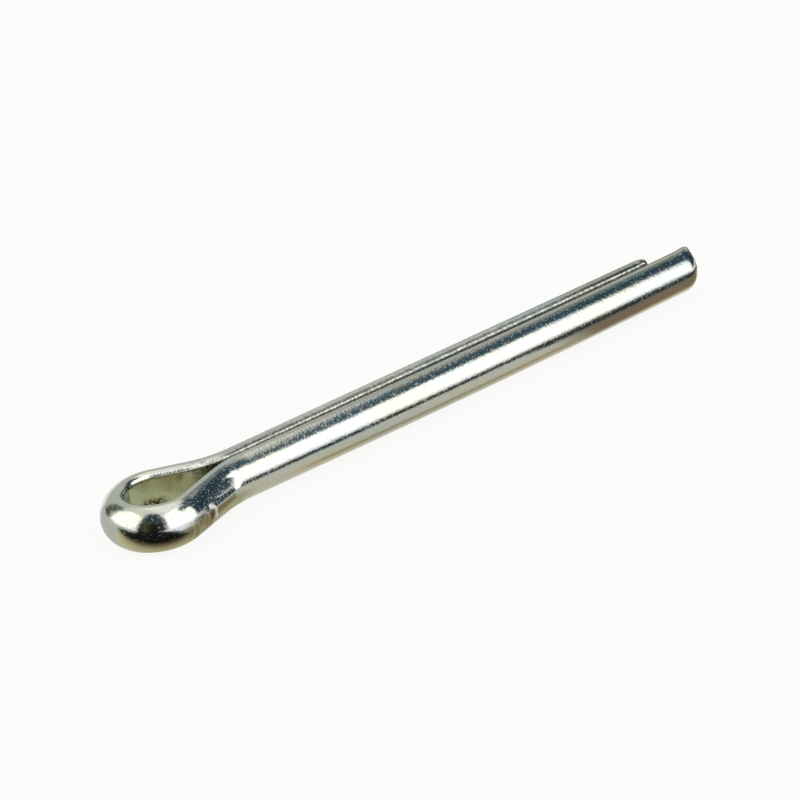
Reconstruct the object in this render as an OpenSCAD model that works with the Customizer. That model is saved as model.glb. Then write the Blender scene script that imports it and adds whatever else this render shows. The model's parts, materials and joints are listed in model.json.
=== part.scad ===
// Cotter pin (split pin) for a 4 mm hole: one half-round wire folded flat to flat.
// The loop lies level. +X runs along the shank to the leg tips, the eye is at -X,
// the long leg at -Y, and the origin is on the shank axis where the legs turn straight.

/* [Wire] */
// Diameter across both legs, round side to round side
shank_d = 3.6; // [2.6:0.1:5.8]
// Gap left between the two flats
leg_gap = 0.2; // [0.05:0.05:0.5]
// Radius rolled on the two long edges of the flat
edge_r = 0.44; // [0.1:0.02:0.5]

/* [Legs] */
// Straight run of the short leg
short_leg = 38.2; // [16:0.2:80]
// How far the long leg stands past the short one
long_leg_extra = 3.4; // [1:0.1:5]
// Radius rolled over the sheared end of each leg
end_r = 0.3; // [0.1:0.05:0.5]

/* [Eye] */
// Straight flank between the neck and the eye's side, on the short leg's side
flank_length = 2.85; // [1.5:0.05:6]
// Sideways set of the eye towards the short leg
eye_offset = 0.14; // [0:0.02:0.4]
// Inside radius of the crown, at the closed end of the eye
crown_r = 1.6; // [1.2:0.1:2.6]
// Inside radius of the eye's two sides
side_r = 2.3; // [1.8:0.1:3.4]
// Angle that the crown turns through between the two sides
crown_turn = 90; // [60:5:120]
// Radius of the bend where a leg leaves the eye
neck_r = 9; // [6:0.5:14]

/* [Jaw mark] */
// Deepest bite of the flat that the forming jaw pressed into the long leg's neck
jaw_depth = 0.08; // [0.02:0.01:0.1]
// Length of that flat
jaw_length = 2.5; // [1:0.1:3]
// How far the flat runs on past the flank into the neck's bend
jaw_past = 0.4; // [0:0.1:0.8]
// How far the flat is turned up from level
jaw_tilt = 42; // [20:1:45]

/* [Hidden] */
$fn = 96;

wire_r = shank_d / 2;
flat_set = leg_gap / 2;
long_leg = short_leg + long_leg_extra;
// Angle at which rolled edges meet their neighbours, so that no surface only grazes another
crease = 8;
end_set = end_r * cos(crease);
// Step between a bend's section and the full one, and how far a bend runs into its neighbours
hair = 0.01;
lap = 0.1;

// A rolled edge is a circle that meets the flat and the round side at a faint crease.
edge_x = edge_r * cos(crease);
edge_reach = sqrt(pow(wire_r, 2) + pow(edge_r, 2) - 2 * wire_r * edge_x);
edge_z = sqrt(pow(edge_reach, 2) - pow(flat_set + edge_x, 2));

// The side arcs' centres lie past the crown's centre, on the lines where the arcs meet.
side_start = 180 - crown_turn / 2;
side_set = (side_r - crown_r) * [cos(side_start), sin(side_start)];
neck_centre = [0, flat_set + neck_r];

// One half of the loop is worked out with its leg at +Y. hand is 1 for the short leg, at +Y,
// and -1 for the long leg, whose half is then mirrored. A flank touches the neck arc on one
// side and the side arc on the other, which sets how far the short leg's flank puts the eye.
bends_r = side_r + neck_r;
function side_drop(hand) = neck_centre.y + side_set.y - hand * eye_offset;
eye_reach = sqrt(pow(flank_length, 2) + pow(bends_r, 2) - pow(side_drop(1), 2)) - side_set.x;
function crown_centre(hand) = [-eye_reach, hand * eye_offset];
function side_centre(hand) = crown_centre(hand) - side_set;
function span(hand) = norm(side_centre(hand) - neck_centre);
function neck_turn(hand) =
    acos(-bends_r / span(hand)) - atan2(eye_reach + side_set.x, -side_drop(hand));
function flank(hand) = sqrt(pow(span(hand), 2) - pow(bends_r, 2));

// Half-round section: flat on the Y axis, round side towards +X, edges rolled to edge_r.
// shrink takes the whole outline in by that much.
module wire_section(shrink = 0) {
    out = [flat_set + edge_x, edge_z] / edge_reach;
    difference() {
        intersection() {
            translate([-flat_set, 0]) circle(r = wire_r - shrink);
            translate([shrink, -wire_r]) square([wire_r, 2 * wire_r]);
        }
        for (flip = [0, 1])
            mirror([0, flip])
                translate([edge_x, edge_z])
                    difference() {
                        polygon([[0, 0], edge_r * 2 * out, [0, edge_r * 3], [-edge_r * 2, 0]]);
                        circle(r = edge_r - shrink);
                    }
    }
}

// A straight run along +X, its flat on y = 0 and its round side towards +Y.
module run(length) {
    rotate([90, 0, 90]) linear_extrude(length) wire_section();
}

// The crown and the straight runs have the full section. The bends between them are a hair
// slimmer and run on into their neighbours, so that no two faces lie on each other.
module bend(r, start, turn, inwards = false) {
    lap_turn = lap / r * 180 / PI;
    rotate([0, 0, start - lap_turn])
        rotate_extrude(angle = turn + 2 * lap_turn)
            translate([r, 0])
                mirror([inwards ? 1 : 0, 0]) wire_section(hair);
}

// The ring of metal that is missing where the sheared end is rolled over.
module end_ring() {
    rotate([0, 90, 0])
        rotate_extrude()
            translate([wire_r - end_set, -end_set])
                difference() {
                    square(2 * end_r);
                    circle(r = end_r);
                }
}

module leg(length) {
    difference() {
        translate([0, flat_set, 0]) run(length);
        translate([length, 0, 0]) end_ring();
    }
}

// One leg, its neck, its flank and its side of the eye, drawn at +Y.
module half(hand, leg_length) {
    turn = neck_turn(hand);
    away = [sin(turn), cos(turn)];
    leg(leg_length);
    translate(neck_centre) bend(neck_r, 270 - turn, turn, inwards = true);
    translate(side_centre(hand) + side_r * away) rotate([0, 0, -turn]) run(flank(hand));
    translate(side_centre(hand)) bend(side_r, 90 - turn, side_start - 90 + turn);
}

// The block of metal that the jaw pressed away, on the round side of the long leg's flank.
module jaw_bite() {
    turn = neck_turn(-1);
    away = [sin(turn), cos(turn)];
    translate(side_centre(-1) + side_r * away)
        rotate([0, 0, -turn])
            translate([flank(-1) + jaw_past - jaw_length, -flat_set, 0])
                rotate([jaw_tilt, 0, 0])
                    translate([0, wire_r - jaw_depth, -wire_r / 2])
                        cube([jaw_length, wire_r, wire_r]);
}

module cotter_pin() {
    color([0.72, 0.73, 0.72]) {
        half(1, short_leg);
        mirror([0, 1, 0])
            difference() {
                half(-1, long_leg);
                jaw_bite();
            }
        translate(crown_centre(1))
            rotate([0, 0, side_start])
                rotate_extrude(angle = crown_turn) translate([crown_r, 0]) wire_section();
    }
}

cotter_pin();
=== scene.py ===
"""A cotter pin of zinc-plated steel, folded from half-round wire, lying on a pale bench.

The pin is one piece of wire. It is drawn as a half-round section, carried round the fold from the short
leg's tip to the long leg's tip, sheared at both ends, pressed by the forming jaw and then plated.
"""

import json
import logging
import math
from collections.abc import Callable, Iterator
from dataclasses import dataclass, field
from enum import Enum
from typing import Any

import bmesh
import bpy
import numpy as np
from mathutils import Euler, Matrix, Quaternion, Vector


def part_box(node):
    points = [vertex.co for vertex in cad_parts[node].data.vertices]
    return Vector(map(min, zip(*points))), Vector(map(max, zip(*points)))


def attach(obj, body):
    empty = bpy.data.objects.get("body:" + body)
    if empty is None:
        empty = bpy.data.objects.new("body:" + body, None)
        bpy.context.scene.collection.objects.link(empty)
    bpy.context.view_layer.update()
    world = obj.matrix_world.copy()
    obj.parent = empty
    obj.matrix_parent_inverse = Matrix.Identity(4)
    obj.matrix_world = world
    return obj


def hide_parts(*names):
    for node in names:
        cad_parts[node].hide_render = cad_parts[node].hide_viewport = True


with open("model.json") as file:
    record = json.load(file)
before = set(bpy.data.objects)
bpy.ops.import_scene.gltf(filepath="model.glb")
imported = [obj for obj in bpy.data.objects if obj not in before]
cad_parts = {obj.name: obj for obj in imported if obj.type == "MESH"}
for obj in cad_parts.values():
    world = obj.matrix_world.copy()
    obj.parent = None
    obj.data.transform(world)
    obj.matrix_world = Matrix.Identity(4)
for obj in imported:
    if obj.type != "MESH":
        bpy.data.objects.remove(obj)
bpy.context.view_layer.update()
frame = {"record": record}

log = logging.getLogger("cotter_pin")

MM = 0.001
NODE = "cotter_pin"
BODY = "root"
WIRE_PLACE = "wire"

# A band's four edges say where it begins to rise, is full, begins to fall and ends.
Colour = tuple[float, float, float]
Pair = tuple[float, float]
Band = tuple[float, float, float, float]
Socket = bpy.types.NodeSocket


class Kind(Enum):
    """What a selection is made of."""

    POINTS = "VERT"
    EDGES = "EDGE"
    FACES = "FACE"


class Way(Enum):
    """Which way a push moves the wire's points."""

    OUTWARD = "NORMAL"
    UP = "Z"


class Hand(Enum):
    """A half of the fold: the short leg's, at +Y, or the long leg's, at -Y."""

    SHORT = 1
    LONG = -1


class Part(Enum):
    """The stretches of the wire, in order."""

    SHORT_LEG = "short_leg"
    SHORT_NECK = "short_neck"
    SHORT_FLANK = "short_flank"
    SHORT_SIDE = "short_side"
    CROWN = "crown"
    LONG_SIDE = "long_side"
    LONG_FLANK = "long_flank"
    LONG_NECK = "long_neck"
    LONG_LEG = "long_leg"


class Mark(Enum):
    """What the forming jaw left on the wire, and the shade painted inside the eye, kept at each point as a
    share.
    """

    SMOOTHED = "smoothed"
    RUBBED = "rubbed"
    PRESSED = "pressed"
    TORN = "torn"
    RAISED = "raised"
    BROWNED = "browned"
    # Painted shade: the flat inside the eye darkened where shade falls, at the eye's foot and where the legs
    # meet.
    SHADE_PAINTED = "dirty"


# ---------------------------------------------------------------- helpers


def mm(*sizes: float) -> tuple[float, ...]:
    """Turn sizes in mm into metres."""
    return tuple(size * MM for size in sizes)


def select(piece: bpy.types.Object, kind: Kind, wanted: Callable[[Any], bool]) -> None:
    """Select, in edit mode, the points, edges or faces that pass a test, and nothing else.

    Args:
        piece: The object being edited.
        kind: What to select.
        wanted: Says of one point, edge or face whether it is to be selected.
    """
    bpy.ops.mesh.select_mode(type=kind.value)
    bpy.ops.mesh.select_all(action="DESELECT")
    mesh = bmesh.from_edit_mesh(piece.data)
    for item in {Kind.POINTS: mesh.verts, Kind.EDGES: mesh.edges, Kind.FACES: mesh.faces}[kind]:
        if wanted(item):
            item.select_set(True)
    mesh.select_flush_mode()
    bmesh.update_edit_mesh(piece.data, loop_triangles=False, destructive=False)


def extrude(step: Vector) -> None:
    """Extrude what is selected by one step, and leave the new end selected."""
    bpy.ops.mesh.extrude_region_move(TRANSFORM_OT_translate={"value": step})


def spin(centre: Vector, turn: float, steps: int, axis: Vector = Vector((0, 0, 1))) -> None:
    """Sweep what is selected round a centre.

    Args:
        centre: A point on the axis of the turn.
        turn: The angle by the right-hand rule about the axis, in radians.
        steps: How many sections the sweep is made in.
        axis: The axis of the turn.
    """
    bpy.ops.mesh.spin(steps=steps, angle=-turn, center=centre, axis=axis)


def smooth_step(values: np.ndarray, low: float | np.ndarray, high: float | np.ndarray) -> np.ndarray:
    """Rise smoothly from 0 at low to 1 at high; low may be the larger of the two."""
    share = np.clip((values - low) / (high - low), 0, 1)
    return share * share * (3 - 2 * share)


def band(values: np.ndarray, edges: Band) -> np.ndarray:
    """Rise smoothly from 0 to 1 between the first two edges, and fall back between the last two."""
    rise, full, fall, end = edges
    return smooth_step(values, rise, full) * smooth_step(values, end, fall)


def direction(azimuth: float, elevation: float) -> Vector:
    """The unit vector towards a bearing: azimuth from +X towards +Y, elevation above level, in degrees."""
    a, e = math.radians(azimuth), math.radians(elevation)
    return Vector((math.cos(a) * math.cos(e), math.sin(a) * math.cos(e), math.sin(e)))


# ---------------------------------------------------------------- the fold's path


@dataclass(frozen=True)
class Stretch:
    """One straight or bent stretch of the wire's path, measured along the section's flat.

    The flat faces left of the way that the wire runs, and the round side faces right.
    """

    part: Part
    length: float
    turn: float
    start: Vector
    heading: float
    begins: float

    @property
    def radius(self) -> float:
        """The bend's radius at the flat, or 0 on a straight."""
        return abs(self.length / self.turn) if self.turn else 0.0

    @property
    def way(self) -> Vector:
        """The direction in which the stretch sets out."""
        return Vector((math.cos(self.heading), math.sin(self.heading), 0.0))

    @property
    def left(self) -> Vector:
        """The direction that the flat faces where the stretch sets out."""
        return Vector((-math.sin(self.heading), math.cos(self.heading), 0.0))

    @property
    def centre(self) -> Vector:
        """The centre of the bend."""
        return self.start + math.copysign(self.radius, self.turn) * self.left

    @property
    def end(self) -> Vector:
        """Where the stretch ends."""
        if not self.turn:
            return self.start + self.length * self.way
        spoke = self.start - self.centre
        spoke.rotate(Euler((0.0, 0.0, self.turn)))
        return self.centre + spoke

    def locate(self, places: np.ndarray) -> tuple[np.ndarray, np.ndarray]:
        """Measure places against this stretch.

        Args:
            places: Rows of X, Y, Z.

        Returns:
            How far along the stretch each place is, and how deep it lies behind the flat.
        """
        away = places[:, :2] - np.array(self.start)[:2]
        way, left = np.array(self.way)[:2], np.array(self.left)[:2]
        if not self.turn:
            return away @ way, -(away @ left)
        spokes = places[:, :2] - np.array(self.centre)[:2]
        side = math.copysign(1.0, self.turn)
        swept = side * np.arctan2(spokes @ way, -side * (spokes @ left))
        outward = np.hypot(spokes[:, 0], spokes[:, 1]) - self.radius
        return swept * self.radius, side * outward


@dataclass(frozen=True)
class Fold:
    """The sizes that set the path of the wire, all at the section's flat."""

    flat_set: float
    short_leg: float
    long_leg: float
    eye_reach: float
    eye_offset: float = 0.14 * MM
    crown_r: float = 1.6 * MM
    side_r: float = 2.3 * MM
    crown_turn: float = math.radians(90)
    neck_r: float = 9 * MM
    bow_r: float = 1030 * MM

    def flank_and_neck(self, hand: Hand) -> Pair:
        """Work out the flank that touches both the neck's bend and the eye's side.

        Args:
            hand: The half of the fold.

        Returns:
            The flank's length and the angle that the neck turns through.
        """
        bends_r = self.side_r + self.neck_r
        set_in = (self.side_r - self.crown_r) * math.cos(self.crown_turn / 2)
        set_down = (self.side_r - self.crown_r) * math.sin(self.crown_turn / 2)
        across = self.flat_set + self.neck_r + set_down - hand.value * self.eye_offset
        along = self.eye_reach - set_in
        reach = math.hypot(along, across)
        flank = math.sqrt(reach**2 - bends_r**2)
        turn = math.acos(-bends_r / reach) - math.atan2(along, -across)
        return flank, turn

    @property
    def bow_half(self) -> float:
        """Half the angle of the long leg's slight bow away from the short leg."""
        return math.asin(self.long_leg / (2 * self.bow_r + self.neck_r))

    def stretches(self) -> Iterator[Stretch]:
        """Walk the wire from the short leg's tip to the long leg's tip.

        Yields:
            Each stretch in turn.
        """
        short_flank, short_neck = self.flank_and_neck(Hand.SHORT)
        long_flank, long_neck = self.flank_and_neck(Hand.LONG)
        bow_half = self.bow_half
        side_turn = (math.pi - self.crown_turn) / 2
        plan = (
            (Part.SHORT_LEG, self.short_leg, 0.0),
            (Part.SHORT_NECK, self.neck_r * short_neck, -short_neck),
            (Part.SHORT_FLANK, short_flank, 0.0),
            (Part.SHORT_SIDE, self.side_r * (side_turn + short_neck), side_turn + short_neck),
            (Part.CROWN, self.crown_r * self.crown_turn, self.crown_turn),
            (Part.LONG_SIDE, self.side_r * (side_turn + long_neck), side_turn + long_neck),
            (Part.LONG_FLANK, long_flank, 0.0),
            (Part.LONG_NECK, self.neck_r * (long_neck + bow_half), -long_neck - bow_half),
            (Part.LONG_LEG, 2 * self.bow_r * bow_half, 2 * bow_half),
        )
        place = Vector((self.short_leg, self.flat_set, 0.0))
        heading, begins = math.pi, 0.0
        for part, length, turn in plan:
            stretch = Stretch(part, length, turn, place, heading, begins)
            yield stretch
            place, heading, begins = stretch.end, heading + turn, begins + length


# ---------------------------------------------------------------- shader graphs and shared effects


class Effect:
    """A shader node group that is built once and placed in each finish with its own values."""

    def __init__(self, name: str, inputs: dict[str, float], outputs: tuple[str, ...]) -> None:
        """Make the group's sockets.

        Args:
            name: The group's name.
            inputs: Each number input and its default; every group also takes a Vector.
            outputs: The number outputs.
        """
        self.tree = bpy.data.node_groups.new(name, "ShaderNodeTree")
        sockets = self.tree.interface
        sockets.new_socket("Vector", in_out="INPUT", socket_type="NodeSocketVector")
        for label, value in inputs.items():
            socket = sockets.new_socket(label, in_out="INPUT", socket_type="NodeSocketFloat")
            socket.default_value = value
        for label in outputs:
            sockets.new_socket(label, in_out="OUTPUT", socket_type="NodeSocketFloat")
        self.given = self.tree.nodes.new("NodeGroupInput").outputs
        self.result = self.tree.nodes.new("NodeGroupOutput").inputs


class Graph:
    """A short way to place and join shader nodes in one tree."""

    MIX_SHARE, MIX_A, MIX_B, MIX_RESULT = 0, 6, 7, 2

    def __init__(self, tree: bpy.types.NodeTree) -> None:
        """Keep the tree that nodes go into."""
        self.tree = tree

    def join(self, socket: Socket, value: object) -> None:
        """Give a socket a value, or link another socket to it.

        Args:
            socket: The socket that takes the value.
            value: A number, a vector, a colour without its alpha, or the socket to link.
        """
        if isinstance(value, Socket):
            self.tree.links.new(value, socket)
        elif socket.type == "RGBA":
            socket.default_value = (*value, 1.0)
        else:
            socket.default_value = value

    def node(self, kind: str, inputs: dict[int | str, object], **settings: object) -> bpy.types.Node:
        """Place a node.

        Args:
            kind: The node's type.
            inputs: What its inputs take, by number or name.
            settings: The node's own settings.

        Returns:
            The node.
        """
        node = self.tree.nodes.new(kind)
        for name, value in settings.items():
            setattr(node, name, value)
        for key, value in inputs.items():
            self.join(node.inputs[key], value)
        return node

    def math(self, operation: str, *values: object) -> Socket:
        """Place a math node and return its result."""
        return self.node("ShaderNodeMath", dict(enumerate(values)), operation=operation).outputs[0]

    def stretch(self, vector: object, scale: Colour) -> Socket:
        """Scale a vector by its parts, so that a pattern runs long one way."""
        return self.node("ShaderNodeVectorMath", {0: vector, 1: scale}, operation="MULTIPLY").outputs[0]

    def noise(self, vector: object, scale: object, detail: float, rough: float = 0.5) -> Socket:
        """Place a noise texture and return its value."""
        inputs = {"Vector": vector, "Scale": scale, "Detail": detail, "Roughness": rough}
        return self.node("ShaderNodeTexNoise", inputs).outputs[0]

    def cells(self, vector: object, scale: object) -> Socket:
        """Place a cell texture and return the distance to the nearest cell's point."""
        return self.node("ShaderNodeTexVoronoi", {"Vector": vector, "Scale": scale}).outputs["Distance"]

    def fade(self, value: object, low: object, high: object) -> Socket:
        """Place a smooth step, 0 below low and 1 above high, and return its value."""
        inputs = {"Value": value, "From Min": low, "From Max": high}
        return self.node("ShaderNodeMapRange", inputs, interpolation_type="SMOOTHSTEP").outputs[0]

    def blend(self, share: object, a: object, b: object) -> Socket:
        """Mix two colours by a share and return the result."""
        inputs = {self.MIX_SHARE: share, self.MIX_A: a, self.MIX_B: b}
        return self.node("ShaderNodeMix", inputs, data_type="RGBA").outputs[self.MIX_RESULT]

    def parts(self, vector: object) -> tuple[Socket, ...]:
        """Split a vector into its three parts."""
        return tuple(self.node("ShaderNodeSeparateXYZ", {0: vector}).outputs)

    def mark(self, mark: Mark) -> Socket:
        """Read how strongly a mark shows."""
        return self.node("ShaderNodeAttribute", {}, attribute_name=mark.value).outputs["Fac"]

    def effect(self, effect: Effect, vector: object, **values: float) -> dict[str, Socket]:
        """Place an effect's group.

        Args:
            effect: The effect.
            vector: The place on the surface.
            values: The group's number inputs.

        Returns:
            The group's outputs by name.
        """
        inputs = {"Vector": vector, **{label.capitalize(): value for label, value in values.items()}}
        node = self.node("ShaderNodeGroup", inputs, node_tree=effect.tree)
        return {socket.name: socket for socket in node.outputs}


@dataclass(frozen=True)
class OrangePeel:
    """The fine pebbling of bright zinc plating, with a few deeper pits; scales are in grains."""

    grain: float = 0.12 * MM
    pits: float = 0.3
    swell_scale: float = 0.5
    swell_height: float = 1.2
    swell_detail: float = 2.0
    speck_scale: float = 1.1
    speck_detail: float = 1.0
    speck_fade: Pair = (0.55, 0.68)
    pit_scale: float = 0.45
    pit_fade: Pair = (0.02, 0.24)

    def build(self) -> Effect:
        """Build the group.

        Returns:
            The effect.
        """
        effect = Effect("orange_peel", {"Grain": self.grain, "Pits": self.pits}, ("Height", "Pit", "Speck"))
        graph = Graph(effect.tree)
        place = effect.given["Vector"]
        scale = graph.math("DIVIDE", 1.0, effect.given["Grain"])
        pebbles = graph.cells(place, scale)
        swells = graph.noise(place, graph.math("MULTIPLY", scale, self.swell_scale), self.swell_detail)
        speck = graph.noise(place, graph.math("MULTIPLY", scale, self.speck_scale), self.speck_detail)
        dots = graph.cells(place, graph.math("MULTIPLY", scale, self.pit_scale))
        pit = graph.math("SUBTRACT", 1.0, graph.fade(dots, *self.pit_fade))
        pit = graph.math("MULTIPLY", pit, effect.given["Pits"])
        height = graph.math("ADD", pebbles, graph.math("MULTIPLY", swells, self.swell_height))
        graph.join(effect.result["Height"], graph.math("SUBTRACT", height, pit))
        graph.join(effect.result["Pit"], pit)
        graph.join(effect.result["Speck"], graph.fade(speck, *self.speck_fade))
        return effect


@dataclass(frozen=True)
class FineLines:
    """Fine uneven lines that run one way over the wire."""

    name: str
    spacing: float
    run: Colour
    detail: float = 3.0
    rough: float = 0.6

    def build(self) -> Effect:
        """Build the group.

        Returns:
            The effect.
        """
        effect = Effect(self.name, {"Spacing": self.spacing}, ("Height",))
        graph = Graph(effect.tree)
        scale = graph.math("DIVIDE", 1.0, effect.given["Spacing"])
        place = graph.stretch(effect.given["Vector"], self.run)
        graph.join(effect.result["Height"], graph.noise(place, scale, self.detail, self.rough))
        return effect


@dataclass(frozen=True)
class Passivation:
    """The faint yellow, blue and plain zones of the clear passivation over the zinc."""

    patch: float = 4 * MM
    run: Colour = (0.2, 1.0, 1.0)
    mirror: Colour = (1.0, -1.0, 1.0)
    detail: float = 3.0
    warm_fade: Pair = (0.42, 0.66)
    cool_fade: Pair = (0.45, 0.7)

    def build(self) -> Effect:
        """Build the group.

        Returns:
            The effect.
        """
        effect = Effect("passivation", {"Patch": self.patch}, ("Warm", "Cool"))
        graph = Graph(effect.tree)
        place = graph.stretch(effect.given["Vector"], self.run)
        scale = graph.math("DIVIDE", 1.0, effect.given["Patch"])
        warm = graph.noise(place, scale, self.detail)
        cool = graph.noise(graph.stretch(place, self.mirror), scale, self.detail)
        graph.join(effect.result["Warm"], graph.fade(warm, *self.warm_fade))
        graph.join(effect.result["Cool"], graph.fade(cool, *self.cool_fade))
        return effect


class Effects:
    """Every shared effect, built once."""

    def __init__(self) -> None:
        """Build the groups."""
        self.peel = OrangePeel().build()
        self.draw = FineLines("draw_lines", 0.08 * MM, (0.03, 1.0, 1.0)).build()
        self.rub = FineLines("rub_marks", 0.1 * MM, (1.0, 0.08, 0.08)).build()
        self.tint = Passivation().build()


# ---------------------------------------------------------------- the finish


@dataclass(frozen=True)
class ZincPlate:
    """Bright zinc plating with a clear passivation, over drawn wire."""

    name: str = "zinc_plate"
    plain: Colour = (0.755, 0.76, 0.73)
    warm: Colour = (0.79, 0.74, 0.58)
    warm_share: float = 0.4
    cool: Colour = (0.62, 0.70, 0.80)
    cool_share: float = 0.5
    tint_patch: float = 1.6 * MM
    pit_colour: Colour = (0.30, 0.31, 0.30)
    rub_colour: Colour = (0.74, 0.69, 0.56)
    rub_dark: Colour = (0.42, 0.37, 0.26)
    rub_spacing: float = 0.17 * MM
    rub_fade: Pair = (0.36, 0.64)
    rub_height: float = 0.016 * MM
    strip_colour: Colour = (0.45, 0.42, 0.32)
    torn_colour: Colour = (0.20, 0.15, 0.11)
    lip_colour: Colour = (0.93, 0.90, 0.84)
    lip_matt: float = 0.8
    border_colour: Colour = (0.26, 0.18, 0.14)
    border_share: float = 0.8
    # Painted shade inside the eye: a near-black laid over the plating where shade falls, broken into flecks.
    painted_shade_colour: Colour = (0.05, 0.042, 0.022)
    painted_shade_least: float = 0.25
    fleck_size: float = 0.22 * MM
    fleck_detail: float = 3.0
    fleck_rough: float = 0.7
    fleck_fade: Pair = (0.38, 0.56)
    roughness: float = 0.16
    speck_roughness: float = 0.16
    rub_roughness: float = 0.12
    torn_roughness: float = 0.3
    peel_grain: float = 0.18 * MM
    peel_pits: float = 0.35
    peel_height: float = 0.0036 * MM
    smoothing: float = 0.55
    line_spacing: float = 0.09 * MM
    line_height: float = 0.0012 * MM

    def build(self, effects: Effects) -> bpy.types.Material:
        """Make the material.

        Args:
            effects: The shared node groups.

        Returns:
            The finished material.
        """
        material = bpy.data.materials.new(self.name)
        material.use_nodes = True
        graph = Graph(material.node_tree)
        place = graph.node("ShaderNodeAttribute", {}, attribute_name=WIRE_PLACE).outputs["Vector"]
        peel = graph.effect(effects.peel, place, grain=self.peel_grain, pits=self.peel_pits)
        lines = graph.effect(effects.draw, place, spacing=self.line_spacing)["Height"]
        scratches = graph.effect(effects.rub, place, spacing=self.rub_spacing)["Height"]
        tint = graph.effect(effects.tint, place, patch=self.tint_patch)
        shader = material.node_tree.nodes["Principled BSDF"].inputs
        colour = self.plate_tone(graph, tint, peel["Pit"])
        graph.join(shader["Base Color"], self.mark_tones(graph, place, colour, scratches))
        metal = graph.math("MULTIPLY_ADD", graph.mark(Mark.RAISED), -self.lip_matt, 1.0)
        graph.join(shader["Metallic"], metal)
        graph.join(shader["Roughness"], self.gloss(graph, peel["Speck"]))
        relief = self.relief(graph, peel["Height"], lines, scratches)
        bump = graph.node("ShaderNodeBump", {"Distance": 1.0, "Height": relief})
        graph.join(shader["Normal"], bump.outputs["Normal"])
        return material

    def plate_tone(self, graph: Graph, tint: dict[str, Socket], pit: Socket) -> Socket:
        """Tint the plating with its passivation and darken its pits.

        Args:
            graph: The material's graph.
            tint: The passivation's outputs.
            pit: How deep each pit is.

        Returns:
            The colour.
        """
        warm = graph.math("MULTIPLY", tint["Warm"], self.warm_share)
        cool = graph.math("MULTIPLY", tint["Cool"], self.cool_share)
        colour = graph.blend(warm, self.plain, self.warm)
        colour = graph.blend(cool, colour, self.cool)
        return graph.blend(pit, colour, self.pit_colour)

    def mark_tones(self, graph: Graph, place: Socket, colour: Socket, scratches: Socket) -> Socket:
        """Lay the marks, and the shade painted inside the eye, over the plating.

        Args:
            graph: The material's graph.
            place: The place on the wire.
            colour: The plating's colour.
            scratches: The height of the rub marks.

        Returns:
            The colour.
        """
        streaks = graph.blend(graph.fade(scratches, *self.rub_fade), self.rub_dark, self.rub_colour)
        brown = graph.math("MULTIPLY", graph.mark(Mark.BROWNED), self.border_share)
        # Painted shade: the near-black is laid in flecks over the flat inside the eye, where shade falls.
        flecks = graph.noise(place, 1 / self.fleck_size, self.fleck_detail, self.fleck_rough)
        flecks = graph.fade(flecks, *self.fleck_fade)
        flecks = graph.math("MULTIPLY_ADD", flecks, 1 - self.painted_shade_least, self.painted_shade_least)
        painted_shade_share = graph.math("MULTIPLY", graph.mark(Mark.SHADE_PAINTED), flecks)
        layers = (
            (graph.mark(Mark.RUBBED), streaks),
            (graph.mark(Mark.PRESSED), self.strip_colour),
            (graph.mark(Mark.TORN), self.torn_colour),
            (brown, self.border_colour),
            (graph.mark(Mark.RAISED), self.lip_colour),
            # Painted shade inside the eye, laid over all the rest.
            (painted_shade_share, self.painted_shade_colour),
        )
        for share, layer in layers:
            colour = graph.blend(share, colour, layer)
        return colour

    def gloss(self, graph: Graph, speck: Socket) -> Socket:
        """Work out how rough the plating is: duller in specks, where it was rubbed, and where it tore.

        Args:
            graph: The material's graph.
            speck: Where the plating is duller.

        Returns:
            The roughness.
        """
        rough = graph.math("MULTIPLY_ADD", speck, self.speck_roughness, self.roughness)
        rough = graph.math("MULTIPLY_ADD", graph.mark(Mark.RUBBED), self.rub_roughness, rough)
        for mark in (Mark.TORN, Mark.RAISED):
            rough = graph.math("MULTIPLY_ADD", graph.mark(mark), self.torn_roughness, rough)
        return rough

    def relief(self, graph: Graph, peel: Socket, lines: Socket, scratches: Socket) -> Socket:
        """Add up the fine relief of the surface, in metres.

        Args:
            graph: The material's graph.
            peel: The height of the orange peel, which the jaw smoothed out in part.
            lines: The height of the drawing die's lines.
            scratches: The height of the rub marks.

        Returns:
            The height.
        """
        kept = graph.math("MULTIPLY_ADD", graph.mark(Mark.SMOOTHED), -self.smoothing, 1.0)
        height = graph.math("MULTIPLY", graph.math("MULTIPLY", peel, kept), self.peel_height)
        height = graph.math("MULTIPLY_ADD", lines, self.line_height, height)
        rubbed = graph.math("MULTIPLY", scratches, graph.mark(Mark.RUBBED))
        return graph.math("ADD", height, graph.math("MULTIPLY", rubbed, self.rub_height))


# ---------------------------------------------------------------- the pin


@dataclass(frozen=True)
class Section:
    """The half-round wire's outline: a flat, two rolled edges and the round side."""

    wire_r: float
    flat_set: float
    edge_r: float = 0.45 * MM
    flat_steps: int = 14
    edge_steps: int = 6
    round_steps: int = 46
    merge_gap: float = 0.001 * MM

    @property
    def edge_place(self) -> Pair:
        """A rolled edge's centre: its depth behind the pin's middle plane, and its height."""
        depth = self.flat_set + self.edge_r
        return depth, math.sqrt((self.wire_r - self.edge_r) ** 2 - depth**2)

    def draw(self, along: float) -> None:
        """Draw the outline across the short leg, from the one point that the edited piece holds.

        Args:
            along: Where on X the outline stands.
        """
        depth, height = self.edge_place
        lengthways = Vector((1, 0, 0))
        round_half = math.atan2(height, depth)
        bpy.ops.transform.translate(value=(along, self.flat_set, 0))
        half_flat = Vector((0, 0, -height / (self.flat_steps / 2)))
        for _ in range(self.flat_steps // 2):
            extrude(half_flat)
        spin(Vector((along, depth, -height)), math.pi - round_half, self.edge_steps, lengthways)
        spin(Vector((along, 0, 0)), 2 * round_half, self.round_steps, lengthways)
        spin(Vector((along, depth, height)), math.pi - round_half, self.edge_steps, lengthways)
        for _ in range(self.flat_steps // 2):
            extrude(half_flat)
        bpy.ops.mesh.select_all(action="SELECT")
        bpy.ops.mesh.remove_doubles(threshold=self.merge_gap)


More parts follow.
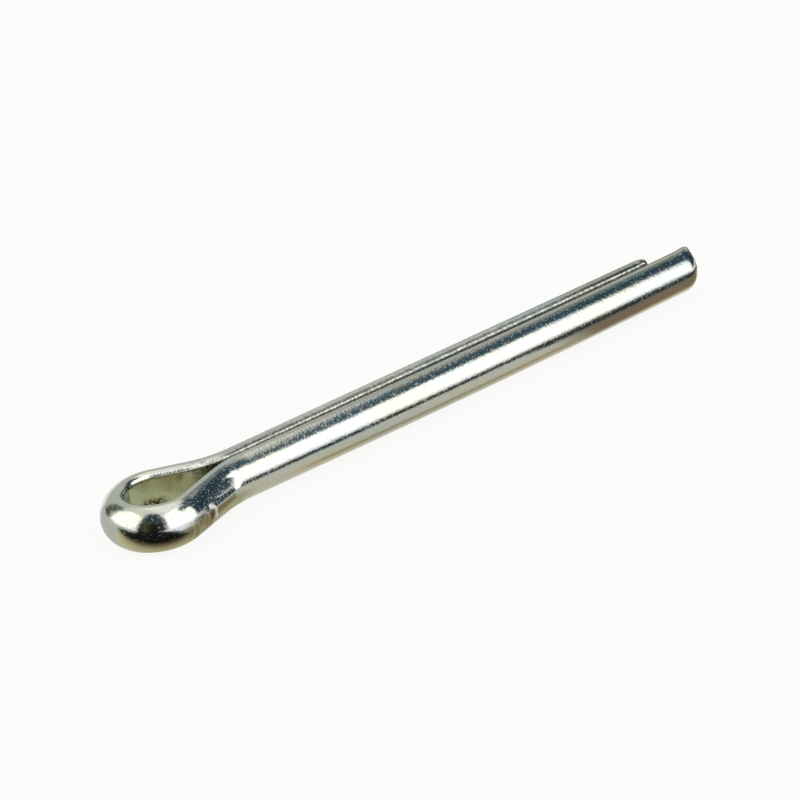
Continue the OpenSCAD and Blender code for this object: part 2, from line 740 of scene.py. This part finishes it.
@dataclass(frozen=True)
class Places:
    """Where each point of the wire is: in the frame, and on the wire."""

    at: np.ndarray
    along: np.ndarray
    depth: np.ndarray
    flat_set: float

    @property
    def lift(self) -> np.ndarray:
        """Each point's angle round the wire in degrees: 0 in the middle of the round side, 90 on top."""
        return np.degrees(np.arctan2(self.at[:, 2], self.depth + self.flat_set))


# The most that share * (1 - share) ** 2 reaches, a third of the way along.
DENT_PEAK = 4 / 27


@dataclass(frozen=True)
class JawMark:
    """The mark that the forming jaw left on the long leg's neck.

    A soft facet lies high on the round side and ends below in a ridge. Under the ridge runs a narrow
    pressed strip, and at the strip's left end the jaw's corner tore a nick and raised a lip. Each pair of
    a facet's end says where it starts and where it is full. The lip and the nick's brown border are
    measured from the nick's centre, in the nick's own half width and half height.
    """

    facet: float = 0.1 * MM
    facet_deepens: float = 0.9
    facet_deepest: float = 1.2
    facet_left: Pair = mm(-6.2, -4.4)
    facet_right: Pair = mm(-1.05, -1.95)
    facet_right_high: Pair = mm(-0.6, -2.9)
    facet_high: Pair = (28, 50)
    ridge: float = 8
    facet_top: float = 85
    strip_x: Band = mm(-4.32, -4.25, -1.95, -1.88)
    strip_z: Band = mm(-0.37, -0.3, 0.06, 0.13)
    strip_depth: float = 0.02 * MM
    nick_at: Pair = mm(-4.4, -0.12)
    nick_size: Pair = mm(0.26, 0.5)
    nick_edge: Pair = (1.1, 0.55)
    nick_depth: float = 0.22 * MM
    nick_bowl: float = 0.4
    nick_grain: float = 0.11 * MM
    lip: float = 0.12 * MM
    lip_ring: Band = (0.6, 1.0, 1.15, 1.7)
    lip_upward: float = 0.7
    lip_start: Pair = (0.0, 0.7)
    border_across: Band = (-1.5, -1.0, -0.7, -0.2)
    border_up: Band = (-2.6, -1.6, 0.4, 0.9)
    rub_x: Band = mm(-7.8, -5.88, -4.6, -4.5)
    rub_z: Band = mm(-1.5, -1.0, 0.1, 0.6)
    off_middle: float = 0.5 * MM
    fine_facing: float = -0.15
    fine_below: float = 1 / 3
    fine_nick: Pair = (2.2, 1.8)

    def near_side(self, places: Places) -> np.ndarray:
        """Say which points are on the round side of the long leg's half of the pin."""
        return (places.at[:, 1] < -self.off_middle) & (places.depth > 0)

    def boxed(self, places: Places, x_edges: Band, z_edges: Band) -> np.ndarray:
        """Say how far each point of the near side is inside a soft-edged box in X and Z."""
        x, _, z = places.at.T
        return band(x, x_edges) * band(z, z_edges) * self.near_side(places)

    def faceted(self, places: Places) -> np.ndarray:
        """Say how far each point is pressed into the facet.

        It falls in crisply at the ridge and deepens to the right. Its right end is short low down, and
        runs out gently higher up.

        Args:
            places: The wire's points.

        Returns:
            The share of each point.
        """
        x = places.at[:, 0]
        high = smooth_step(places.lift, *self.facet_high)
        right, full = (low + high * (top - low) for low, top in zip(self.facet_right, self.facet_right_high))
        left_full, right_full = self.facet_left[1], self.facet_right[1]
        run = np.clip((x - left_full) / (right_full - left_full), 0, self.facet_deepest)
        deeper = 1 + self.facet_deepens * (1 - high) * run
        lengthways = smooth_step(x, *self.facet_left) * smooth_step(x, right, full) * deeper
        share = np.clip((places.lift - self.ridge) / (self.facet_top - self.ridge), 0, 1)
        return lengthways * share * (1 - share) ** 2 / DENT_PEAK * self.near_side(places)

    def from_nick(self, places: Places) -> tuple[np.ndarray, np.ndarray]:
        """How far each point is across and up from the nick's centre, in the nick's own sizes."""
        x, _, z = places.at.T
        return (x - self.nick_at[0]) / self.nick_size[0], (z - self.nick_at[1]) / self.nick_size[1]

    def nick_reach(self, places: Places) -> np.ndarray:
        """How far each point is from the nick's centre, where 1 is the nick's edge."""
        return np.where(self.near_side(places), np.hypot(*self.from_nick(places)), np.inf)

    def nicked(self, places: Places) -> np.ndarray:
        """Say how far each point is inside the nick."""
        return smooth_step(self.nick_reach(places), *self.nick_edge)

    def lipped(self, places: Places) -> np.ndarray:
        """Say how far each point is raised into the lip, above and to the right of the nick.

        Args:
            places: The wire's points.

        Returns:
            The share of each point.
        """
        across, up = self.from_nick(places)
        side = smooth_step(across + self.lip_upward * up, *self.lip_start)
        return band(self.nick_reach(places), self.lip_ring) * side

    def browned(self, places: Places) -> np.ndarray:
        """Say how far each point is in the brown border and the run below, on the nick's left."""
        across, up = self.from_nick(places)
        return band(across, self.border_across) * band(up, self.border_up) * self.near_side(places)

    def round_mark(self, face: bmesh.types.BMFace, wire_r: float) -> bool:
        """Say whether a face is in the mark's part of the neck.

        Args:
            face: The face.
            wire_r: The radius of the wire's round side.

        Returns:
            Whether it is.
        """
        middle, high = face.calc_center_median(), wire_r * math.sin(math.radians(self.facet_top))
        inside = self.facet_left[0] < middle.x < self.facet_right[0]
        return inside and -high * self.fine_below < middle.z < high and face.normal.y < self.fine_facing

    def round_nick(self, face: bmesh.types.BMFace) -> bool:
        """Say whether a face is in or beside the nick.

        Args:
            face: The face.

        Returns:
            Whether it is.
        """
        middle = face.calc_center_median()
        off_x = abs(middle.x - self.nick_at[0]) / (self.fine_nick[0] * self.nick_size[0])
        off_z = abs(middle.z - self.nick_at[1]) / (self.fine_nick[1] * self.nick_size[1])
        return max(off_x, off_z) < 1 and face.normal.y < self.fine_facing and middle.y < 0


@dataclass(frozen=True)
class PaintedShade:
    """The shade painted into the plating inside the eye, where shade falls: a patch at its foot, and more
    where the legs meet.
    """

    patch_x: Band = mm(-6.9, -6.4, -5.6, -4.6)
    patch_z: Pair = mm(0.05, -0.45)
    fold_x: Pair = mm(-4.0, -2.2)
    fold_share: float = 0.6
    inner: Pair = mm(0.5, 0.2)

    def darkened(self, places: Places) -> np.ndarray:
        """Say how much painted shade lies at each point of the wire's flat.

        Args:
            places: The wire's points.

        Returns:
            The share of each point.
        """
        x, y, z = places.at.T
        patch = band(x, self.patch_x) * smooth_step(z, *self.patch_z) * (y > 0)
        fold = smooth_step(x, *self.fold_x) * self.fold_share
        return np.maximum(patch, fold) * smooth_step(places.depth, *self.inner)


@dataclass(frozen=True)
class Shear:
    """What the shears did to a leg's end: its edge is rolled over and drawn out, and a burr is raised.

    Each of the wall's rings is given as a share of the one before it.
    """

    roll: float = 0.8 * MM
    drop: float = 0.5 * MM
    drop_high: float = 0.2 * MM
    drag: float = 0.15 * MM
    steps: int = 10
    wall_rings: tuple[float, ...] = (0.8, 0.75, 0.66, 0.5)
    ear: float = 0.11 * MM
    ear_length: float = 1.1 * MM
    ear_lift: Pair = (48, 80)

    def eared(self, places: Places, wire_length: float) -> np.ndarray:
        """Say how far each point is raised into the burr on an end's upper corner."""
        from_end = np.minimum(places.along, wire_length - places.along)
        return smooth_step(from_end, self.ear_length, 0.0) * smooth_step(places.lift, *self.ear_lift)


@dataclass
class FoldedWire:
    """The whole pin: one half-round wire, folded, sheared, pressed and plated."""

    section: Section
    fold: Fold
    ring_gap: float = 0.12 * MM
    leg_spans: int = 12
    bend_spans: int = 4
    mark_cuts: int = 2
    nick_cuts: int = 1
    ripple: float = 0.006 * MM
    ripple_size: float = 0.7 * MM
    grain_depth: int = 2
    smooth_angle: float = 40
    hair: float = 1e-9
    shear: Shear = Shear()
    jaw: JawMark = JawMark()
    # Where shade is painted inside the eye.
    painted_shade: PaintedShade = PaintedShade()
    stretches: list[Stretch] = field(default_factory=list)

    def build(self) -> bpy.types.Object:
        """Model the pin.

        Returns:
            The finished piece, undressed.
        """
        self.stretches = list(self.fold.stretches())
        piece = self.start_wire()
        self.sweep()
        self.refine_legs(piece)
        self.close_ends(piece)
        self.refine_jaw_mark(piece)
        bpy.ops.object.mode_set(mode="OBJECT")
        self.press(piece)
        self.mark_places(piece)
        bpy.ops.object.shade_smooth_by_angle(angle=math.radians(self.smooth_angle))
        return piece

    def start_wire(self) -> bpy.types.Object:
        """Make the piece from a primitive, shrunk to one point, and draw the section across the short leg.

        Returns:
            The piece, in edit mode.
        """
        bpy.ops.object.select_all(action="DESELECT")
        bpy.ops.mesh.primitive_plane_add(size=self.section.wire_r)
        piece = bpy.context.object
        piece.name = piece.data.name = "folded_wire"
        bpy.ops.object.mode_set(mode="EDIT")
        bpy.ops.mesh.select_mode(type="VERT")
        bpy.ops.mesh.select_all(action="SELECT")
        bpy.ops.mesh.merge(type="CENTER")
        self.section.draw(self.fold.short_leg - self.shear.roll)
        return piece

    def sweep(self) -> None:
        """Carry the section along every stretch of the fold; legs are swept in a few long spans."""
        for stretch in self.stretches:
            leg = stretch.part in (Part.SHORT_LEG, Part.LONG_LEG)
            steps = self.leg_spans if leg else max(self.bend_spans, round(stretch.length / self.ring_gap))
            length, turn = stretch.length, stretch.turn
            if leg:
                length -= self.shear.roll
                turn *= length / stretch.length
            if turn:
                spin(stretch.centre, turn, steps)
            else:
                for _ in range(steps):
                    extrude(stretch.way * (length / steps))

    def refine_legs(self, piece: bpy.types.Object) -> None:
        """Cut the legs' long spans into rings as close as the bends' rings.

        Args:
            piece: The wire, in edit mode.
        """
        span = self.fold.short_leg / self.leg_spans
        select(piece, Kind.EDGES, lambda edge: edge.calc_length() > span / 2)
        bpy.ops.mesh.subdivide(number_cuts=round(span / self.ring_gap) - 1)

    def close_ends(self, piece: bpy.types.Object) -> None:
        """Roll the two sheared ends over, draw the long one out a little, and close them.

        Args:
            piece: The wire, in edit mode.
        """
        last = self.stretches[-1]
        heading = last.heading + last.turn
        long_way = Vector((math.cos(heading), math.sin(heading), 0))
        self.roll_end(piece, Hand.SHORT, self.fold.short_leg, Vector((1, 0, 0)), 0.0)
        self.roll_end(piece, Hand.LONG, last.end.x, long_way, self.shear.drag)
        bpy.ops.mesh.select_all(action="SELECT")
        bpy.ops.mesh.normals_make_consistent(inside=False)

    def roll_end(self, piece: bpy.types.Object, hand: Hand, tip: float, way: Vector, drag: float) -> None:
        """Roll one sheared end over and close it with rings that shrink to a point.

        Args:
            piece: The wire, in edit mode.
            hand: Which leg's end it is.
            tip: Where on X the leg ends before it is drawn out.
            way: The way that the leg runs at its end.
            drag: How far the end is drawn out.
        """
        shear, side = self.shear, hand.value
        tall = self.section.edge_place[1] + self.section.edge_r
        wide = self.section.wire_r - self.section.flat_set
        wall_end, near = tip - shear.roll, self.ring_gap / 3
        select(piece, Kind.POINTS, lambda p: abs(p.co.x - wall_end) < near and p.co.y * side > 0)
        middle = Vector((wall_end, side * self.section.flat_set, 0))
        wide_before = tall_before = 1.0
        gone = 0.0
        for step in range(1, shear.steps + 1):
            angle = step / shear.steps * math.pi / 2
            fall, reach = 1 - math.cos(angle), (shear.roll + drag) * math.sin(angle)
            extrude(way * (reach - gone))
            wide_now, tall_now = 1 - shear.drop * fall / wide, 1 - shear.drop_high * fall / tall
            shrink = (1, wide_now / wide_before, tall_now / tall_before)
            bpy.ops.transform.resize(value=shrink, center_override=middle)
            wide_before, tall_before, gone = wide_now, tall_now, reach
        middle = Vector((tip + drag, side * wide / 2, 0))
        for share in shear.wall_rings:
            extrude(Vector((0, 0, 0)))
            bpy.ops.transform.resize(value=(1, share, share), center_override=middle)
        bpy.ops.mesh.merge(type="CENTER")

    def refine_jaw_mark(self, piece: bpy.types.Object) -> None:
        """Cut the faces round the jaw's mark finer, and finer again round the nick.

        Args:
            piece: The wire, in edit mode.
        """
        select(piece, Kind.FACES, lambda face: self.jaw.round_mark(face, self.section.wire_r))
        bpy.ops.mesh.subdivide(number_cuts=self.mark_cuts)
        select(piece, Kind.FACES, self.jaw.round_nick)
        bpy.ops.mesh.subdivide(number_cuts=self.nick_cuts)

    def locate(self, piece: bpy.types.Object) -> Places:
        """Find each point's place on the wire.

        Args:
            piece: The wire, out of edit mode.

        Returns:
            The places of all its points.
        """
        count = len(piece.data.vertices)
        places = np.empty(count * 3, np.float32)
        piece.data.vertices.foreach_get("co", places)
        places = places.reshape(-1, 3).astype(float)
        along, depth = np.zeros(count), np.zeros(count)
        best = np.full(count, np.inf)
        for stretch in self.stretches:
            reached, behind = stretch.locate(places)
            outside = np.maximum(np.maximum(-reached, reached - stretch.length), 0)
            beyond = np.maximum(np.maximum(-behind, behind - self.section.wire_r), 0)
            miss = outside + beyond
            better = miss < best - self.hair
            best[better] = miss[better]
            along[better] = stretch.begins + reached[better]
            depth[better] = behind[better]
        return Places(places, along, depth, self.section.flat_set)

    def push(
        self,
        piece: bpy.types.Object,
        weights: np.ndarray,
        distance: float,
        way: Way = Way.OUTWARD,
        grain: float = 0.0,
    ) -> None:
        """Move some points with a displace modifier, and apply it.

        Args:
            piece: The wire, out of edit mode.
            weights: How much of the distance each point moves.
            distance: How far a point of weight 1 moves; inwards if negative.
            way: The way that the points move.
            grain: The size of the uneven pattern to move by, or 0 for an even push.
        """
        group = piece.vertex_groups.new(name="push")
        for index in np.flatnonzero(weights > 0):
            group.add([int(index)], float(weights[index]), "REPLACE")
        modifier = piece.modifiers.new("push", "DISPLACE")
        modifier.direction, modifier.vertex_group = way.value, group.name
        modifier.strength, modifier.mid_level = distance, 0.0
        if grain:
            pattern = bpy.data.textures.new("push", "CLOUDS")
            pattern.noise_scale, pattern.noise_depth = grain, self.grain_depth
            modifier.texture, modifier.texture_coords, modifier.mid_level = pattern, "LOCAL", 0.5
        bpy.ops.object.modifier_apply(modifier=modifier.name)
        piece.vertex_groups.clear()

    def press(self, piece: bpy.types.Object) -> None:
        """Ripple the whole surface, press the jaw's mark, tear its nick and raise the shears' burr.

        Args:
            piece: The wire, out of edit mode.
        """
        jaw, shear, last = self.jaw, self.shear, self.stretches[-1]
        places = self.locate(piece)
        self.push(piece, np.ones(len(places.along)), self.ripple, grain=self.ripple_size)
        self.push(piece, jaw.faceted(places), -jaw.facet)
        self.push(piece, jaw.boxed(places, jaw.strip_x, jaw.strip_z), -jaw.strip_depth)
        self.push(piece, jaw.lipped(places), jaw.lip)
        self.push(piece, jaw.nicked(places), -jaw.nick_depth * jaw.nick_bowl)
        self.push(piece, jaw.nicked(places), jaw.nick_depth, grain=jaw.nick_grain)
        self.push(piece, shear.eared(places, last.begins + last.length), shear.ear, way=Way.UP)

    def mark_places(self, piece: bpy.types.Object) -> None:
        """Write the point attributes for the finish: the place on the wire, and how far each mark shows.

        Args:
            piece: The wire, out of edit mode.
        """
        places, jaw = self.locate(piece), self.jaw
        wire = np.column_stack((places.along, places.at[:, 2], places.depth))
        attribute = piece.data.attributes.new(WIRE_PLACE, "FLOAT_VECTOR", "POINT")
        attribute.data.foreach_set("vector", wire.astype(np.float32).ravel())
        marks = {
            Mark.SMOOTHED: jaw.faceted(places) / (1 + jaw.facet_deepens),
            Mark.RUBBED: jaw.boxed(places, jaw.rub_x, jaw.rub_z),
            Mark.PRESSED: jaw.boxed(places, jaw.strip_x, jaw.strip_z),
            Mark.TORN: jaw.nicked(places),
            Mark.RAISED: jaw.lipped(places),
            Mark.BROWNED: jaw.browned(places),
            # Painted shade inside the eye, at its foot and where the legs meet.
            Mark.SHADE_PAINTED: self.painted_shade.darkened(places),
        }
        for mark, share in marks.items():
            attribute = piece.data.attributes.new(mark.value, "FLOAT", "POINT")
            attribute.data.foreach_set("value", share.astype(np.float32))

    def dress(self, piece: bpy.types.Object, effects: Effects) -> None:
        """Plate the wire."""
        piece.data.materials.append(ZincPlate().build(effects))


# ---------------------------------------------------------------- bench, lamps and camera


@dataclass(frozen=True)
class Bench:
    """The plain white surface that the pin lies on; it shows white, and keeps a share of its shade."""

    level: float
    side: float = 2.0
    colour: Colour = (0.9, 0.9, 0.9)
    shade_kept: float = 0.12

    def build(self) -> None:
        """Lay the surface and give it its finish."""
        bpy.ops.mesh.primitive_plane_add(size=self.side, location=(0, 0, self.level))
        floor = bpy.context.object
        floor.name = "bench"
        material = bpy.data.materials.new("bench_white")
        material.use_nodes = True
        material.node_tree.nodes.clear()
        graph = Graph(material.node_tree)
        matt = graph.node("ShaderNodeBsdfDiffuse", {"Color": self.colour})
        white = graph.node("ShaderNodeEmission", {"Color": (1, 1, 1)})
        rays = graph.node("ShaderNodeLightPath", {}).outputs
        seen = graph.math("MAXIMUM", rays["Is Camera Ray"], rays["Is Glossy Ray"])
        seen = graph.math("MAXIMUM", seen, rays["Is Transmission Ray"])
        share = graph.math("MULTIPLY", seen, 1 - self.shade_kept)
        mix = graph.node("ShaderNodeMixShader", {0: share, 1: matt.outputs[0], 2: white.outputs[0]})
        graph.node("ShaderNodeOutputMaterial", {"Surface": mix.outputs[0]})
        floor.data.materials.append(material)


def add_card(
    name: str,
    middle: Vector,
    turned: Quaternion,
    size: Pair,
    soft: Pair,
    tone: Colour,
    far_tone: Colour | None,
) -> None:
    """Add a toned card that shows in the metal's reflections only, as a flag does in a studio.

    Args:
        name: The card's name.
        middle: Its centre.
        turned: How it is turned: its local Y runs from its low edge to its far edge.
        size: Its width and height.
        soft: How far its sides fade inwards, and how far its low and far edges do.
        tone: Its colour at the low edge.
        far_tone: Its colour at the far edge, or None for the same all over.
    """
    bpy.ops.mesh.primitive_plane_add(size=1)
    card = bpy.context.object
    card.name = name
    card.matrix_world = Matrix.LocRotScale(middle, turned, Vector((*size, 1)))
    material = bpy.data.materials.new(name)
    material.use_nodes = True
    material.node_tree.nodes.clear()
    graph = Graph(material.node_tree)
    place = graph.node("ShaderNodeTexCoord", {}).outputs["Object"]
    across, up, _ = graph.parts(place)
    colour = graph.blend(graph.math("ADD", up, 0.5), tone, far_tone or tone)
    glow = graph.node("ShaderNodeEmission", {"Color": colour})
    kept = 1.0
    for part, side, fade in zip((across, up), size, soft):
        inside = graph.math("SUBTRACT", 0.5, graph.math("ABSOLUTE", part))
        kept = graph.math("MULTIPLY", graph.fade(inside, 0.0, fade / side), kept)
    clear = graph.node("ShaderNodeBsdfTransparent", {})
    mix = graph.node("ShaderNodeMixShader", {0: kept, 1: clear.outputs[0], 2: glow.outputs[0]})
    graph.node("ShaderNodeOutputMaterial", {"Surface": mix.outputs[0]})
    card.data.materials.append(material)
    card.visible_camera = card.visible_diffuse = card.visible_shadow = False
    card.visible_transmission = card.visible_volume_scatter = False


@dataclass(frozen=True)
class Panel:
    """A flat panel that stands on edge round the pin, in degrees and metres."""

    name: str
    azimuth: float
    distance: float
    bottom: float
    width: float
    height: float

    @property
    def turned(self) -> Quaternion:
        """How the panel is turned: its local Y runs up, and its local -Z faces the pin."""
        return direction(self.azimuth, 0).to_track_quat("Z", "Y")

    @property
    def middle(self) -> Vector:
        """The panel's centre."""
        return direction(self.azimuth, 0) * self.distance + Vector((0, 0, self.bottom + self.height / 2))


@dataclass(frozen=True)
class Softbox(Panel):
    """A lamp behind a sheet of white cloth."""

    radiance: float
    colour: Colour

    def build(self) -> None:
        """Hang the lamp."""
        data = bpy.data.lights.new(self.name, "AREA")
        data.shape = "RECTANGLE"
        data.size, data.size_y = self.width, self.height
        data.color = self.colour
        data.energy = self.radiance * math.pi * self.width * self.height
        lamp = bpy.data.objects.new(self.name, data)
        bpy.context.scene.collection.objects.link(lamp)
        lamp.location = self.middle
        lamp.rotation_mode = "QUATERNION"
        lamp.rotation_quaternion = self.turned
        lamp.visible_camera = False


@dataclass(frozen=True)
class Flag(Panel):
    """A toned card that stands on edge."""

    soft: Pair
    tone: Colour
    far_tone: Colour | None = None

    def build(self) -> None:
        """Stand the flag up, with its tone running from its low edge to its high edge."""
        size = (self.width, self.height)
        add_card(self.name, self.middle, self.turned, size, self.soft, self.tone, self.far_tone)


@dataclass(frozen=True)
class LevelCard:
    """A level toned card between two corners, turned about its far corner; its sizes are in mm."""

    name: str
    corner: Pair
    far_corner: Pair
    soft: Pair
    tone: Colour
    far_tone: Colour | None = None
    turn: float = 0.0

    def build(self, level: float) -> None:
        """Lay the card.

        Args:
            level: The height it lies at.
        """
        size = tuple((b - a) * MM for a, b in zip(self.corner, self.far_corner))
        turned = Quaternion((0, 0, 1), math.radians(self.turn))
        pivot = Vector((*self.far_corner, 0)) * MM + Vector((0, 0, level))
        middle = pivot - turned @ Vector((*size, 0)) / 2
        add_card(self.name, middle, turned, size, mm(*self.soft), self.tone, self.far_tone)


@dataclass(frozen=True)
class Viewpoint:
    """The camera: it looks down on the pin from the eye's end, on the long leg's side."""

    aim: tuple[float, float, float] = (13.93 * MM, -0.24 * MM, 0.0)
    azimuth: float = -38.98
    elevation: float = 28.53
    roll: float = -3.95
    distance: float = 221.07 * MM
    lens: float = 144.67
    sensor: float = 36.0
    clip: Pair = (1 * MM, 10.0)

    def build(self) -> None:
        """Set up the camera and make it the scene's own."""
        data = bpy.data.cameras.new("camera")
        data.lens, data.sensor_width = self.lens, self.sensor
        data.clip_start, data.clip_end = self.clip
        camera = bpy.data.objects.new("camera", data)
        bpy.context.scene.collection.objects.link(camera)
        back = direction(self.azimuth - 90, self.elevation)
        camera.location = Vector(self.aim) + back * self.distance
        camera.rotation_mode = "QUATERNION"
        roll = Quaternion((0, 0, 1), math.radians(self.roll))
        camera.rotation_quaternion = (-back).to_track_quat("-Z", "Y") @ roll
        bpy.context.scene.camera = camera


@dataclass(frozen=True)
class Room:
    """The plain light of the room: grey walls under a paler ceiling; its edges are in degrees."""

    walls: Colour = (0.50, 0.53, 0.47)
    ceiling: Colour = (0.74, 0.75, 0.67)
    wall_top: float = 48
    ceiling_edge: float = 72

    def build(self) -> None:
        """Give the room its light."""
        world = bpy.data.worlds.new("room")
        bpy.context.scene.world = world
        world.use_nodes = True
        graph = Graph(world.node_tree)
        height = graph.parts(graph.node("ShaderNodeTexCoord", {}).outputs["Generated"])[2]
        low, high = (math.sin(math.radians(angle)) for angle in (self.wall_top, self.ceiling_edge))
        tone = graph.blend(graph.fade(height, low, high), self.walls, self.ceiling)
        graph.join(world.node_tree.nodes["Background"].inputs["Color"], tone)


BLACK = (0.006, 0.006, 0.005)
NAVY = (0.006, 0.028, 0.048)
TEAL = (0.005, 0.052, 0.078)
OLIVE = (0.05, 0.066, 0.014)
DUSK = (0.15, 0.19, 0.20)
GREY_GREEN = (0.54, 0.56, 0.48)
BROWN = (0.36, 0.32, 0.21)
INK = (0.012, 0.020, 0.022)
CREAM = (0.98, 0.98, 0.90)
RIM_BROWN = (0.12, 0.07, 0.013)
RIM_CREAM = (0.70, 0.66, 0.43)
SEAM_SHADE = (0.22, 0.24, 0.215)
SEAM_LIGHT = (0.90, 0.93, 0.88)

# Name, azimuth, distance, bottom, width and height, and then radiance and colour.
SOFTBOXES = (
    Softbox("front_softbox", -65.5, 0.5, -0.02, 0.687, 1.1, 0.98, (1.0, 0.99, 0.965)),
    Softbox("side_softbox", 165.5, 0.5, 0.08, 0.69, 1.0, 1.0, (1.0, 0.94, 0.86)),
)

# Name, azimuth, distance, bottom, width and height, and then soft edges and tones.
FLAGS = (
    Flag("camera_flag", -131, 0.3, -0.03, 0.35, 0.30, (0.03, 0.02), BLACK),
    Flag("camera_top_flag", -128, 0.3, 0.24, 0.31, 1.0, (0.03, 0.04), NAVY),
    Flag("olive_flag", -142, 0.28, -0.03, 0.09, 0.31, (0.04, 0.06), OLIVE),
    Flag("top_flag", -25, 0.4, 0.354, 0.458, 0.356, (0.05, 0.05), TEAL),
    Flag("top_flag_end", 10, 0.42, 0.35, 0.27, 0.28, (0.09, 0.04), DUSK),
    Flag("side_flag", -18, 0.4, -0.03, 0.267, 0.46, (0.03, 0.05), NAVY),
    Flag("far_flag", 18, 0.4, -0.03, 0.62, 0.20, (0.08, 0.06), (0.10, 0.12, 0.09), (0.13, 0.15, 0.12)),
    Flag("back_flag", 113, 0.4, 0.0, 0.19, 0.48, (0.04, 0.04), (0.05, 0.075, 0.055), (0.09, 0.13, 0.11)),
)

CARD_LIFT = 0.01 * MM
SLANT = -24

# Name, corners, soft edges, tones and turn. Each lies a little above the one before it, by CARD_LIFT.
BENCH_CARDS = (
    LevelCard("far_line_card", (-2, -24), (56, 24), (3, 15), INK),
    LevelCard("left_bench_card", (-150, -4.0), (-9.3, 150), (0.7, 1.0), GREY_GREEN),
    LevelCard("rim_bench_card", (-38, -6.4), (-3.9, -2.6), (1.0, 0.7), RIM_BROWN, RIM_CREAM, SLANT),
    LevelCard("near_bench_card", (-3, -6.8), (48, 0.8), (1.5, 1.2), (0.56, 0.64, 0.60), (0.56, 0.48, 0.32)),
    LevelCard(
        "brown_bench_card", (27, -5.4), (50, -1.3), (6.0, 0.5), (0.20, 0.18, 0.14), (0.225, 0.17, 0.095)
    ),
    LevelCard("brown_line_card", (3, -2.5), (32, -1.55), (4.0, 0.4), BROWN),
    LevelCard("under_card", (-1, -1.6), (46, 1.0), (1.0, 0.4), (0.60, 0.59, 0.52), (0.70, 0.69, 0.62)),
    LevelCard(
        "line_bench_card", (-1.5, -13.0), (31, -5.4), (2.5, 0.8), (0.006, 0.014, 0.018), (0.004, 0.008, 0.009)
    ),
    LevelCard("wide_line_card", (26, -9.4), (54, -3.9), (3, 1.0), (0.03, 0.05, 0.055), (0.012, 0.018, 0.018)),
    LevelCard(
        "olive_bench_card", (-6.5, -9), (1.0, -1.0), (1.5, 1.5), (0.34, 0.32, 0.22), (0.36, 0.33, 0.21)
    ),
    LevelCard("dark_bench_card", (-300, -300), (-3.5, -4.5), (2.6, 1.8), BLACK, turn=SLANT),
    LevelCard(
        "green_bench_card", (-5.9, -4.6), (-3.8, -1.4), (0.7, 0.7), (0.33, 0.33, 0.22), (0.46, 0.46, 0.32)
    ),
    LevelCard(
        "hole_bench_card", (-9.2, -1.95), (-0.4, 1.8), (0.4, 0.12), (0.40, 0.42, 0.24), (0.46, 0.46, 0.25)
    ),
)

# Each hanging card, and its height.
HANGING_CARDS = (
    (LevelCard("ceiling_card", (-50, -260), (370, 260), (60, 60), CREAM), 0.6),
    (LevelCard("seam_card", (-2.0, -0.45), (37.0, 1.4), (11.0, 0.25), SEAM_SHADE, SEAM_LIGHT), 2.4 * MM),
)

FLAT_SET = 0.045 * MM
LEG_DIFFERENCE = 3.4 * MM


def main() -> None:
    """Build the pin, the bench and the lights in order, and report each piece."""
    bpy.context.scene.view_settings.view_transform = "Standard"
    low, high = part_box(NODE)
    shank = next(mount for mount in frame["record"]["mounts"] if mount["name"] == "shank")
    wire_r = shank["dims"]["r_mm"] * MM
    eye_reach = -low.x - Fold.crown_r - (wire_r - FLAT_SET)
    fold = Fold(FLAT_SET, high.x - LEG_DIFFERENCE, high.x, eye_reach)
    pin = FoldedWire(Section(wire_r, FLAT_SET), fold)
    piece = pin.build()
    pin.dress(piece, Effects())
    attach(piece, BODY)
    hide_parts(NODE)
    log.info("%s: %d faces", piece.name, len(piece.data.polygons))
    Bench(low.z).build()
    for layer, bench_card in enumerate(BENCH_CARDS, start=1):
        bench_card.build(low.z + layer * CARD_LIFT)
    for hanging_card, height in HANGING_CARDS:
        hanging_card.build(height)
    for stand in (*SOFTBOXES, *FLAGS):
        stand.build()
    Room().build()
    Viewpoint().build()


if __name__ == "__main__":
    logging.basicConfig(level=logging.INFO)
    main()
